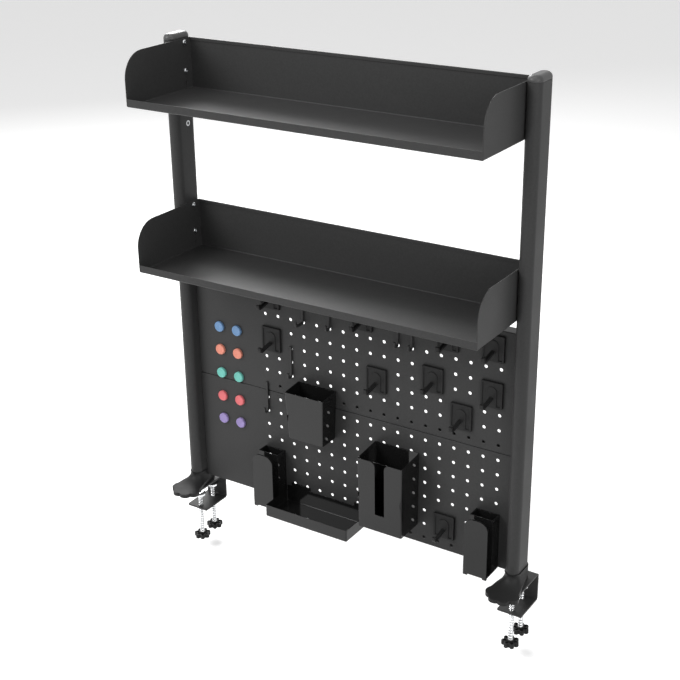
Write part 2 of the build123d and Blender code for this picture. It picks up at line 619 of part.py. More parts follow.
def holder(columns):
    """Upright holder: hollow body on the board, a slot, and an arch-topped front plate on two small feet."""
    height = HOLDER_TOP - HOLDER_BOTTOM
    plate = Pos(0, height / 2) * Rectangle(HOLDER_WIDTH, height)
    plate = fillet(plate.vertices().group_by(Axis.Y)[-1], HOLDER_ARCH)
    for sign in (-1, 1):
        place = Pos(sign * (HOLDER_WIDTH - HOLDER_FOOT_WIDTH) / 2, -HOLDER_FOOT / 2)
        plate += place * Rectangle(HOLDER_FOOT_WIDTH, HOLDER_FOOT)
    front = Pos(0, HOLDER_FRONT, 0) * extrude(Plane.XZ * plate, -HOLDER_PLATE)
    body_front = HOLDER_FRONT + HOLDER_PLATE + HOLDER_SLOT
    body_height = HOLDER_BODY_TOP - HOLDER_BOTTOM
    block = Box(HOLDER_WIDTH, -BOARD_CLEARANCE - body_front, body_height,
                align=(Align.CENTER, Align.MIN, Align.MIN))
    block = Pos(0, body_front, 0) * block
    body = offset(block, amount=-HOLDER_BODY_WALL, openings=block.faces().sort_by(Axis.Z)[-1])
    floor = Pos(0, HOLDER_FRONT + HOLDER_PLATE, 0) * Box(
        HOLDER_WIDTH, HOLDER_SLOT, HOLDER_FLOOR, align=(Align.CENTER, Align.MIN, Align.MIN))
    pegs = [(column, HOLDER_PEG_ROW) for column in columns]
    return Pos(holder_centre(columns), 0, HOLDER_BOTTOM) * (front + body + floor) + peg_tabs(pegs)


# ---- Every node ----

def nodes():
    """Name and solid, or solids, of every node."""
    parts = {}
    for name, side in SIDES.items():
        parts["post_" + name] = post(side)
        parts["post_cap_" + name] = post_cap(side)
        parts["base_plug_" + name] = base_plug(side)
        parts["foot_" + name] = foot(side)
        parts["clamp_bracket_" + name] = clamp_bracket(side)
        for place, (y, top) in CLAMP_SCREWS.items():
            ending = name + "_" + place
            parts["clamp_pad_" + ending] = clamp_pad(side * POST_X, y, top)
            parts["clamp_rod_" + ending] = clamp_rod(side * POST_X, y, top)
            parts["star_knob_" + ending] = star_knob(side * POST_X, y, top)
    for name, bottom in SHELF_BOTTOMS.items():
        parts[name] = shelf(bottom)
    parts["threaded_inserts"] = threaded_inserts()
    parts["shelf_screws"] = side_screws(shelf_screw_places(), SHELF_SHEET)
    parts["board_screws"] = side_screws(board_screw_places(), PANEL_SHEET)
    parts["base_screws"] = base_screws()
    for name, first_row in FIRST_ROWS.items():
        parts["pegboard_" + name] = pegboard_panel(first_row)
    for number, (column, row) in enumerate(PLATE_HOOKS, start=1):
        parts["plate_hook_" + str(number)] = plate_hook(column, row)
    for number, place in enumerate(SLIM_HOOKS, start=1):
        parts["slim_hook_" + str(number)] = slim_hook(place, SLIM_REACH)
    parts["long_hook"] = slim_hook(LONG_HOOK, LONG_REACH)
    for colour, z in MAGNET_Z.items():
        parts["magnets_" + colour] = [magnet(x, z) for x in MAGNET_X]
    parts["pen_cup"] = plain_cup()
    parts["slotted_cup"] = slotted_cup()
    parts["tray"] = tray()
    for name, columns in HOLDER_COLUMNS.items():
        parts[name] = holder(columns)
    return parts


def main():
    """Write one STEP file for each node."""
    os.makedirs("parts", exist_ok=True)
    for name, shape in nodes().items():
        if isinstance(shape, list):
            solid = Compound(children=[piece.solid() for piece in shape])
        else:
            solid = shape.solid()
        export_step(solid, "parts/" + name + ".step")


if __name__ == "__main__":
    main()
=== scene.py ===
import json
from math import cos, pi, radians, sin, tau

import bmesh
import bpy
from bpy.props import FloatProperty, FloatVectorProperty, IntProperty, PointerProperty
from mathutils import Euler, Matrix, Vector


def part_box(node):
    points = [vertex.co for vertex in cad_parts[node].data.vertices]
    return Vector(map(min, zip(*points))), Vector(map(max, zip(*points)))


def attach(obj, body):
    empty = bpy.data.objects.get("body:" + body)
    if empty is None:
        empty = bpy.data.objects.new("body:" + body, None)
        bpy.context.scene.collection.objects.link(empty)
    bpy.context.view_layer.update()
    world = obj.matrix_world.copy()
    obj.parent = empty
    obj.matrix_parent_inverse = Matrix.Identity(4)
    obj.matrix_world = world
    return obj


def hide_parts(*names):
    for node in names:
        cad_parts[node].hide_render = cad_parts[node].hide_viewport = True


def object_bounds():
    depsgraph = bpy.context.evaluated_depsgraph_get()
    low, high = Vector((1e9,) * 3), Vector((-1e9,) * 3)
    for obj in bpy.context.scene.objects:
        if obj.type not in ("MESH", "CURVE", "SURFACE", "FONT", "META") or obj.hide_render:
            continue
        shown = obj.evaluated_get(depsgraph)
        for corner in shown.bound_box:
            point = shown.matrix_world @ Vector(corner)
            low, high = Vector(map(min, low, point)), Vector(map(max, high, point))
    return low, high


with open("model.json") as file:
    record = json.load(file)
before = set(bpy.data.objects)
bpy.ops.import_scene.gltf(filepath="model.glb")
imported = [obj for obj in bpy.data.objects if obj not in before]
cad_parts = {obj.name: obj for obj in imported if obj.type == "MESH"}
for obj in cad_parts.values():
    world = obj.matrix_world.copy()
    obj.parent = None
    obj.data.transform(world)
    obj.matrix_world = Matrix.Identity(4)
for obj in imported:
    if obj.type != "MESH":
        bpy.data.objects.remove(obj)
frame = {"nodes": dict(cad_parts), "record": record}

bl_info = {
    "name": "Desk Edge Organizer Rack",
    "version": (1, 0, 0),
    "blender": (4, 5, 0),
    "location": "View3D > Sidebar > Rack",
    "description": "Finished pieces of a rack that clamps on the edge of a desk",
    "category": "Object",
}

CAD_BOX = [list(corner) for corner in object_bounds()]
MM = 0.001
WELD = 1e-6  # metres within which points are one
BEVEL_SEGMENTS = 2
SHARPEST = radians(38)  # edges that turn more than this are rounded
CAD_SMOOTH = 35  # degrees up to which the faces of an unrounded copy run on
ROUNDED_SMOOTH = 50  # the same for a copy with rounded edges
SIDES = {"left": -1, "right": 1}
CLAMPS = [side + "_" + place for side in SIDES for place in ("front", "rear")]
PLATE_HOOKS = sorted(name for name in frame["nodes"] if name.startswith("plate_hook"))
SLIM_HOOKS = sorted(name for name in frame["nodes"] if name.startswith("slim_hook"))
MAGNETS = sorted(name for name in frame["nodes"] if name.startswith("magnets"))


def linear(code):
    """Linear RGB of an sRGB hex colour."""
    parts = [int(code[i:i + 2], 16) / 255 for i in (1, 3, 5)]
    return [part / 12.92 if part <= 0.04045 else ((part + 0.055) / 1.055) ** 2.4 for part in parts]


# ---- What a user would change ----

def length(name, description, default):
    """Property for a length in metres."""
    return FloatProperty(name=name, description=description, default=default, min=0, subtype="DISTANCE", unit="LENGTH")


def colour(name, description, code):
    """Property for a colour."""
    return FloatVectorProperty(name=name, description=description, default=linear(code), size=3, min=0, max=1,
                               subtype="COLOR")


class RackBoard(bpy.types.PropertyGroup):
    """Sizes of the perforated board."""
    pitch: length("Pitch", "From hole to hole", 25 * MM)
    hole: length("Hole radius", "Radius of a peg hole", 2.8 * MM)
    first: length("First column", "From the board's left edge to the first column of holes", 141.5 * MM)
    columns: IntProperty(name="Columns", description="Holes in a row", default=18, min=1)
    rows: IntProperty(name="Rows", description="Rows of holes on one panel", default=8, min=1)
    sheet: length("Sheet", "Thickness of the sheet steel", 1.2 * MM)
    bend: length("Bend", "Outer radius of the folded edges", 1.6 * MM)
    lip: length("Lip", "Width of the rim turned in at the back of the folded edges", 8 * MM)


class RackFittings(bpy.types.PropertyGroup):
    """Sizes of edges, screws and threads."""
    edge: length("Edge", "Round on a cut edge of sheet steel", 0.3 * MM)
    moulded_edge: length("Moulded edge", "Round on an edge of a moulded piece", 0.5 * MM)
    cup_edge: length("Cup edge", "Round on an edge of a cup, tray or holder", 0.12 * MM)
    head: length("Screw head", "Radius of a screw's head", 4.2 * MM)
    head_height: length("Head height", "Height of a screw's head", 2.6 * MM)
    socket: length("Socket", "Half the width across flats of the socket in a screw's head", 1.5 * MM)
    thread: length("Thread pitch", "Rise of the clamp screw's thread in one turn", 1.25 * MM)
    thread_depth: length("Thread depth", "Height of the thread's ridge", 0.7 * MM)
    lobes: IntProperty(name="Lobes", description="Lobes round a star knob", default=7, min=3)
    knob_wall: length("Knob wall", "Thickness of a star knob's wall and ribs", 1.5 * MM)
    hub: length("Knob hub", "Radius of the hub round the rod", 6.2 * MM)


class RackFinishes(bpy.types.PropertyGroup):
    """Colours of the finishes."""
    steel: colour("Powder coat", "Coated sheet and tube", "#383838")
    moulded: colour("Moulded plastic", "Feet, caps, knobs and hooks", "#252525")
    cap: colour("Caps", "Caps on the posts", "#444444")
    cup: colour("Cups", "Cups, tray and holders", "#181818")
    chrome: colour("Chrome", "Clamp screws and pads", "#e4e5e6")
    zinc: colour("Zinc", "Screws and inserts", "#c4c6c8")
    blue: colour("Blue magnet", "First pair of magnets", "#6b8fb8")
    peach: colour("Peach magnet", "Second pair of magnets", "#dc8a76")
    mint: colour("Mint magnet", "Third pair of magnets", "#6cbcb0")
    coral: colour("Coral magnet", "Fourth pair of magnets", "#d86c70")
    lavender: colour("Lavender magnet", "Fifth pair of magnets", "#9484b8")


class RackStage(bpy.types.PropertyGroup):
    """Camera, light and floor."""
    lens: FloatProperty(name="Lens", description="Focal length in millimetres on a 36 mm sensor", default=69.42, min=1)
    azimuth: FloatProperty(name="Azimuth", description="Camera's turn to the object's right", subtype="ANGLE",
                           unit="ROTATION", default=radians(33.01))
    elevation: FloatProperty(name="Elevation", description="Camera's rise above the horizon", subtype="ANGLE",
                             unit="ROTATION", default=radians(23.32))
    roll: FloatProperty(name="Roll", description="Camera's turn about its line of sight", subtype="ANGLE",
                        unit="ROTATION", default=radians(-0.76))
    place: FloatVectorProperty(name="Place", description="Where the camera stands", subtype="TRANSLATION",
                               unit="LENGTH", default=(1.0216, -1.5897, 1.1575))
    ambient: FloatProperty(name="Ambient", description="Strength of the light from all round", default=0.38, min=0)
    key: FloatProperty(name="Key light", description="Power of the large lamp in watts", default=58, min=0)
    top: FloatProperty(name="Top light", description="Power of the lamp overhead in watts", default=9, min=0)
    side: FloatProperty(name="Side light", description="Power of the lamp at the right in watts", default=17, min=0)
    rear: FloatProperty(name="Rear light", description="Power of the lamp behind in watts", default=64, min=0)


# ---- Nodes ----

def add(tree, kind, settings=None, inputs=None):
    """Add a node with its settings; each input is a value or an output to link from."""
    node = tree.nodes.new(kind)
    for key, value in (settings or {}).items():
        setattr(node, key, value)
    for key, value in (inputs or {}).items():
        if isinstance(value, bpy.types.NodeSocket):
            tree.links.new(value, node.inputs[key])
        else:
            node.inputs[key].default_value = value
    return node


def new_material(name):
    """Empty node material, with its tree, its shader and the Object coordinates."""
    material = bpy.data.materials.new(name)
    material.use_nodes = True
    tree = material.node_tree
    tree.nodes.clear()
    shader = add(tree, "ShaderNodeBsdfPrincipled")
    add(tree, "ShaderNodeOutputMaterial", inputs={"Surface": shader.outputs["BSDF"]})
    place = add(tree, "ShaderNodeTexCoord").outputs["Object"]
    return material, tree, shader, place


def rgba(value, gain=1.0):
    """A property's colour as a node takes it."""
    return [min(1.0, part * gain) for part in value] + [1.0]


def powder_coat(value):
    """Polyester powder baked on steel: satin black, with orange peel and a cloudy gloss."""
    material, tree, shader, place = new_material("Powder-coated steel")
    # Peel is about 1 mm wide; the cloudiness comes from uneven film, a hand's width across.
    peel = add(tree, "ShaderNodeTexNoise", inputs={"Vector": place, "Scale": 1 / (1.1 * MM), "Detail": 3.0})
    cloud = add(tree, "ShaderNodeTexNoise", inputs={"Vector": place, "Scale": 1 / (70 * MM), "Detail": 2.0})
    speck = add(tree, "ShaderNodeTexNoise", inputs={"Vector": place, "Scale": 1 / (3 * MM), "Detail": 4.0})
    gloss = add(tree, "ShaderNodeMapRange", inputs={"Value": cloud.outputs["Fac"], "From Min": 0.3, "From Max": 0.7,
                                                    "To Min": 0.4, "To Max": 0.48})
    tint = add(tree, "ShaderNodeMix", {"data_type": "RGBA"}, {0: speck.outputs["Fac"], 6: rgba(value, 0.85),
                                                              7: rgba(value, 1.2)})
    bump = add(tree, "ShaderNodeBump", inputs={"Height": peel.outputs["Fac"], "Strength": 0.25,
                                               "Distance": 0.06 * MM})
    tree.links.new(tint.outputs[2], shader.inputs["Base Color"])
    tree.links.new(gloss.outputs["Result"], shader.inputs["Roughness"])
    tree.links.new(bump.outputs["Normal"], shader.inputs["Normal"])
    shader.inputs["Specular IOR Level"].default_value = 0.14
    return material


def moulded_plastic(name, value, low, high, grain, depth, shine):
    """Injection-moulded ABS: even colour, with the fine grain or the polish of its mould."""
    material, tree, shader, place = new_material(name)
    # grain is the width in millimetres of the mould's spark-eroded texture, depth its height.
    texture = add(tree, "ShaderNodeTexNoise", inputs={"Vector": place, "Scale": 1 / (grain * MM), "Detail": 2.0})
    flow = add(tree, "ShaderNodeTexNoise", inputs={"Vector": place, "Scale": 1 / (35 * MM), "Detail": 2.0})
    gloss = add(tree, "ShaderNodeMapRange", inputs={"Value": flow.outputs["Fac"], "From Min": 0.3, "From Max": 0.7,
                                                    "To Min": low, "To Max": high})
    tint = add(tree, "ShaderNodeMix", {"data_type": "RGBA"}, {0: flow.outputs["Fac"], 6: rgba(value, 0.92),
                                                              7: rgba(value, 1.08)})
    bump = add(tree, "ShaderNodeBump", inputs={"Height": texture.outputs["Fac"], "Strength": 0.3,
                                               "Distance": depth * MM})
    tree.links.new(tint.outputs[2], shader.inputs["Base Color"])
    tree.links.new(gloss.outputs["Result"], shader.inputs["Roughness"])
    tree.links.new(bump.outputs["Normal"], shader.inputs["Normal"])
    shader.inputs["Specular IOR Level"].default_value = shine
    return material


def plated_metal(name, value, low, high):
    """Plated steel: mirror-like chrome or duller zinc, with fine marks from handling."""
    material, tree, shader, place = new_material(name)
    # Handling marks are some 4 mm long and a tenth as wide, so the pattern is stretched along Z.
    stretch = add(tree, "ShaderNodeMapping", inputs={"Vector": place, "Scale": (1, 1, 0.1)})
    marks = add(tree, "ShaderNodeTexNoise", inputs={"Vector": stretch.outputs["Vector"], "Scale": 1 / (0.4 * MM),
                                                    "Detail": 3.0})
    gloss = add(tree, "ShaderNodeMapRange", inputs={"Value": marks.outputs["Fac"], "From Min": 0.35,
                                                    "From Max": 0.65, "To Min": low, "To Max": high})
    tint = add(tree, "ShaderNodeMix", {"data_type": "RGBA"}, {0: marks.outputs["Fac"], 6: rgba(value, 0.93),
                                                              7: rgba(value)})
    tree.links.new(tint.outputs[2], shader.inputs["Base Color"])
    tree.links.new(gloss.outputs["Result"], shader.inputs["Roughness"])
    shader.inputs["Metallic"].default_value = 1.0
    return material


MATERIALS = {}


def material(key):
    """One of the finishes, made when it is first asked for."""
    if key not in MATERIALS:
        finishes = bpy.context.scene.rack_finishes
        if key == "steel":
            made = powder_coat(finishes.steel)
        elif key == "moulded":
            # A spark-eroded mould leaves a dull, even grain.
            made = moulded_plastic("Moulded ABS, grained", finishes.moulded, 0.44, 0.52, 0.8, 0.03, 0.14)
        elif key == "cap":
            # The caps look a little lighter than the coat of the posts.
            made = moulded_plastic("Moulded ABS, caps", finishes.cap, 0.34, 0.42, 0.8, 0.02, 0.3)
        elif key == "polished":
            # A polished mould leaves a gloss that mirrors what is near it.
            made = moulded_plastic("Moulded ABS, polished", finishes.cup, 0.05, 0.09, 6.0, 0.006, 0.36)
        elif key == "chrome":
            made = plated_metal("Chrome-plated steel", finishes.chrome, 0.06, 0.16)
        elif key == "zinc":
            made = plated_metal("Zinc-plated steel", finishes.zinc, 0.2, 0.32)
        else:
            # Magnets are cast in coloured plastic with a soft sheen.
            made = moulded_plastic("Moulded ABS, " + key, getattr(finishes, key), 0.34, 0.42, 0.8, 0.02, 0.3)
        MATERIALS[key] = made
    return MATERIALS[key]


# ---- Meshes ----

def new_object(name, mesh):
    """Object for a mesh, linked to the scene."""
    made = bpy.data.objects.new(name, mesh)
    bpy.context.scene.collection.objects.link(made)
    return made


def mesh_from(name, points, faces):
    """Mesh from points in metres, its faces turned outwards."""
    mesh = bpy.data.meshes.new(name)
    mesh.from_pydata([tuple(point) for point in points], [], faces)
    shape = bmesh.new()
    shape.from_mesh(mesh)
    bmesh.ops.remove_doubles(shape, verts=shape.verts, dist=1e-7)
    bmesh.ops.recalc_face_normals(shape, faces=shape.faces)
    shape.to_mesh(mesh)
    shape.free()
    return mesh


def skin(rings, closed=False, caps=True):
    """Faces that join equal rings of points; closed joins the last ring to the first."""
    count = len(rings[0])
    points = [point for ring in rings for point in ring]
    last = len(rings) if closed else len(rings) - 1
    faces = []
    for level in range(last):
        here = level * count
        above = (level + 1) % len(rings) * count
        for i in range(count):
            j = (i + 1) % count
            faces.append((here + i, here + j, above + j, above + i))
    if caps and not closed:
        faces.append(tuple(reversed(range(count))))
        faces.append(tuple(range(len(points) - count, len(points))))
    return points, faces


def circle(radius, z, steps=32):
    """Ring of points round the Z axis."""
    return [Vector((radius * cos(tau * i / steps), radius * sin(tau * i / steps), z)) for i in range(steps)]


def hexagon(inner, z, steps=32):
    """Ring of points on a hexagon round the Z axis; inner is half the width across flats."""
    ring = []
    for i in range(steps):
        angle = tau * i / steps
        reach = inner / cos((angle + pi / 6) % (pi / 3) - pi / 6)
        ring.append(Vector((reach * cos(angle), reach * sin(angle), z)))
    return ring


def settled(piece):
    """Turn a piece and its modifiers into a plain mesh at the origin."""
    bpy.context.view_layer.update()
    graph = bpy.context.evaluated_depsgraph_get()
    mesh = bpy.data.meshes.new_from_object(piece.evaluated_get(graph), depsgraph=graph)
    piece.modifiers.clear()
    piece.data = mesh
    return piece


def finish(piece, key, body, *nodes, smooth=CAD_SMOOTH):
    """Shade a piece, give it its material, set it on its body and let it stand for CAD nodes."""
    if key:
        piece.data.materials.clear()
        piece.data.materials.append(material(key))
    if smooth:
        piece.data.shade_smooth()
        piece.data.set_sharp_from_angle(angle=radians(smooth))
        # Weighted normals keep the flat faces flat beside their rounded edges.
        piece.modifiers.new("Normals", "WEIGHTED_NORMAL").keep_sharp = True
        settled(piece)
    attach(piece, body)
    if nodes:
        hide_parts(*nodes)
    return piece


def node_copy(node, width):
    """Copy of a CAD node with its sharp edges rounded a little."""
    shape = bmesh.new()
    shape.from_mesh(frame["nodes"][node].data)
    bmesh.ops.remove_doubles(shape, verts=shape.verts, dist=WELD)
    mesh = bpy.data.meshes.new(node + "_finished")
    shape.to_mesh(mesh)
    shape.free()
    piece = new_object(node + "_finished", mesh)
    if width:
        bevel = piece.modifiers.new("Edge", "BEVEL")
        bevel.width = width
        bevel.segments = BEVEL_SEGMENTS
        bevel.limit_method = "ANGLE"
        bevel.angle_limit = SHARPEST
        bevel.use_clamp_overlap = False
        bevel.loop_slide = False
        settled(piece)
    return piece


def body_of(node):
    """Name of the body that a CAD node belongs to."""
    for body, members in frame["record"]["behaviour"]["bodies"].items():
        if node in members:
            return body
    raise RuntimeError("no body holds " + node)


def dress(nodes, key, width):
    """Finished copy for each of these CAD nodes."""
    for node in nodes:
        if node not in frame["nodes"]:
            raise RuntimeError("no node is named " + node)
        smooth = ROUNDED_SMOOTH if width else CAD_SMOOTH
        finish(node_copy(node, width), key, body_of(node), node, smooth=smooth)


# ---- Geometry Nodes ----

def new_tree(name, sockets):
    """Geometry tree with these inputs, given as (name, type) pairs; returns it and its input node."""
    tree = bpy.data.node_groups.new(name, "GeometryNodeTree")
    tree.interface.new_socket(name="Geometry", in_out="INPUT", socket_type="NodeSocketGeometry")
    for label, kind in sockets:
        tree.interface.new_socket(name=label, in_out="INPUT", socket_type=kind)
    tree.interface.new_socket(name="Geometry", in_out="OUTPUT", socket_type="NodeSocketGeometry")
    return tree, add(tree, "NodeGroupInput").outputs


def end_tree(tree, geometry, finish_socket):
    """Realize, set the material and send the result out."""
    real = add(tree, "GeometryNodeRealizeInstances", inputs={"Geometry": geometry})
    coated = add(tree, "GeometryNodeSetMaterial", inputs={"Geometry": real.outputs["Geometry"],
                                                          "Material": finish_socket})
    add(tree, "NodeGroupOutput", inputs={"Geometry": coated.outputs["Geometry"]})
    return tree


def copies_tree():
    """Copies of an object at the points of the host mesh, turned by its turn attribute."""
    tree, given = new_tree("Copies at points", [("Shape", "NodeSocketObject"), ("Finish", "NodeSocketMaterial")])
    shape = add(tree, "GeometryNodeObjectInfo", inputs={"Object": given["Shape"]})
    turn = add(tree, "GeometryNodeInputNamedAttribute", {"data_type": "FLOAT_VECTOR"}, {"Name": "turn"})
    placed = add(tree, "GeometryNodeInstanceOnPoints", inputs={
        "Points": given["Geometry"], "Instance": shape.outputs["Geometry"], "Rotation": turn.outputs["Attribute"]})
    return end_tree(tree, placed.outputs["Instances"], given["Finish"])


def perforated_tree():
    """Upright sheet with a grid of round holes, its front face in the plane Y = 0."""
    sizes = ("Width", "Height", "Pitch", "Hole Radius", "Sheet", "Grid X", "Centre Z")
    tree, given = new_tree("Perforated sheet", [(label, "NodeSocketFloat") for label in sizes]
                           + [("Columns", "NodeSocketInt"), ("Rows", "NodeSocketInt"),
                              ("Finish", "NodeSocketMaterial")])
    spans = []
    for label in ("Columns", "Rows"):
        steps = add(tree, "ShaderNodeMath", {"operation": "SUBTRACT"}, {0: given[label], 1: 1.0})
        spans.append(add(tree, "ShaderNodeMath", {"operation": "MULTIPLY"}, {0: steps.outputs[0],
                                                                             1: given["Pitch"]}))
    grid = add(tree, "GeometryNodeMeshGrid", inputs={
        "Size X": spans[0].outputs[0], "Size Y": spans[1].outputs[0], "Vertices X": given["Columns"],
        "Vertices Y": given["Rows"]})
    shift = add(tree, "ShaderNodeCombineXYZ", inputs={"X": given["Grid X"]})
    moved = add(tree, "GeometryNodeTransform", inputs={"Geometry": grid.outputs["Mesh"],
                                                       "Translation": shift.outputs["Vector"]})
    hole = add(tree, "GeometryNodeCurvePrimitiveCircle", inputs={"Resolution": 20, "Radius": given["Hole Radius"]})
    holes = add(tree, "GeometryNodeInstanceOnPoints", inputs={"Points": moved.outputs["Geometry"],
                                                              "Instance": hole.outputs["Curve"]})
    real = add(tree, "GeometryNodeRealizeInstances", inputs={"Geometry": holes.outputs["Instances"]})
    edge = add(tree, "GeometryNodeCurvePrimitiveQuadrilateral", inputs={"Width": given["Width"],
                                                                        "Height": given["Height"]})
    lines = add(tree, "GeometryNodeJoinGeometry")
    tree.links.new(edge.outputs["Curve"], lines.inputs[0])
    tree.links.new(real.outputs["Geometry"], lines.inputs[0])
    face = add(tree, "GeometryNodeFillCurve", inputs={"Curve": lines.outputs["Geometry"]})
    front = add(tree, "GeometryNodeExtrudeMesh", inputs={"Mesh": face.outputs["Mesh"],
                                                         "Offset Scale": given["Sheet"], "Individual": False})
    back = add(tree, "GeometryNodeFlipFaces", inputs={"Mesh": face.outputs["Mesh"]})
    both = add(tree, "GeometryNodeJoinGeometry")
    tree.links.new(front.outputs["Mesh"], both.inputs[0])
    tree.links.new(back.outputs["Mesh"], both.inputs[0])
    solid = add(tree, "GeometryNodeMergeByDistance", inputs={"Geometry": both.outputs["Geometry"],
                                                             "Distance": 1e-6})
    place = add(tree, "ShaderNodeCombineXYZ", inputs={"Y": given["Sheet"], "Z": given["Centre Z"]})
    upright = add(tree, "GeometryNodeTransform", inputs={
        "Geometry": solid.outputs["Geometry"], "Translation": place.outputs["Vector"],
        "Rotation": Euler((pi / 2, 0, 0))})
    return end_tree(tree, upright.outputs["Geometry"], given["Finish"])


def thread_tree():
    """Threaded rod along Z: a core with a helical ridge."""
    sizes = ("Radius", "Depth", "Pitch", "Length")
    tree, given = new_tree("Threaded rod", [(label, "NodeSocketFloat") for label in sizes]
                           + [("Place", "NodeSocketVector"), ("Finish", "NodeSocketMaterial")])
    root = add(tree, "ShaderNodeMath", {"operation": "SUBTRACT"}, {0: given["Radius"], 1: given["Depth"]})
    turns = add(tree, "ShaderNodeMath", {"operation": "DIVIDE"}, {0: given["Length"], 1: given["Pitch"]})
    helix = add(tree, "GeometryNodeCurveSpiral", inputs={
        "Resolution": 14, "Rotations": turns.outputs[0], "Start Radius": root.outputs[0],
        "End Radius": root.outputs[0], "Height": given["Length"]})
    section = add(tree, "GeometryNodeCurvePrimitiveCircle", inputs={"Resolution": 4, "Radius": given["Depth"]})
    ridge = add(tree, "GeometryNodeCurveToMesh", inputs={
        "Curve": helix.outputs["Curve"], "Profile Curve": section.outputs["Curve"], "Fill Caps": True})
    core = add(tree, "GeometryNodeMeshCylinder", inputs={"Vertices": 28, "Radius": root.outputs[0],
                                                         "Depth": given["Length"]})
    half = add(tree, "ShaderNodeMath", {"operation": "MULTIPLY"}, {0: given["Length"], 1: 0.5})
    rise = add(tree, "ShaderNodeCombineXYZ", inputs={"Z": half.outputs[0]})
    raised = add(tree, "GeometryNodeTransform", inputs={"Geometry": core.outputs["Mesh"],
                                                        "Translation": rise.outputs["Vector"]})
    both = add(tree, "GeometryNodeJoinGeometry")
    tree.links.new(ridge.outputs["Mesh"], both.inputs[0])
    tree.links.new(raised.outputs["Geometry"], both.inputs[0])
    placed = add(tree, "GeometryNodeTransform", inputs={"Geometry": both.outputs["Geometry"],
                                                        "Translation": given["Place"]})
    return end_tree(tree, placed.outputs["Geometry"], given["Finish"])


def run_tree(piece, tree, values):
    """Run a geometry tree on a piece with these inputs and keep the result as a plain mesh."""
    modifier = piece.modifiers.new("Build", "NODES")
    modifier.node_group = tree
    for item in tree.interface.items_tree:
        if item.in_out == "INPUT" and item.name in values:
            modifier[item.identifier] = values[item.name]
    return settled(piece)


def copies(name, shape, key, places):
    """One piece made of copies of a shape at (point, turn) places; the shape is used up."""
    host = bpy.data.meshes.new(name)
    host.from_pydata([point for point, turn in places], [], [])
    turns = host.attributes.new("turn", "FLOAT_VECTOR", "POINT")
    for i, (point, turn) in enumerate(places):
        turns.data[i].vector = turn
    piece = run_tree(new_object(name, host), copies_tree(), {"Shape": shape, "Finish": material(key)})
    bpy.data.objects.remove(shape)
    return piece


def copied_nodes(name, nodes, key, width):
    """One piece for several equal CAD nodes, copied from the first to where each of them is."""
    first = Vector(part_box(nodes[0])[0])
    shape = node_copy(nodes[0], width)
    places = [(Vector(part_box(node)[0]) - first, (0, 0, 0)) for node in nodes]
    piece = copies(name, shape, key, places)
    return finish(piece, None, body_of(nodes[0]), *nodes, smooth=ROUNDED_SMOOTH)


# ---- Operators ----

class RACK_OT_frame(bpy.types.Operator):
    """Posts with their caps and feet, and the brackets that grip the desk"""
    bl_idname = "rack.frame"
    bl_label = "Frame"

    def execute(self, context):
        fittings = context.scene.rack_fittings
        for side in SIDES:
            dress(["post_" + side], "steel", 0)
            dress(["post_cap_" + side], "cap", 0)
            dress(["foot_" + side], "moulded", 0)
            dress(["clamp_bracket_" + side], "steel", fittings.edge)
            frame["nodes"]["base_plug_" + side].data.materials[0] = material("moulded")
        frame["nodes"]["base_screws"].data.materials[0] = material("zinc")
        dress(["threaded_inserts"], "zinc", 0)
        return {"FINISHED"}


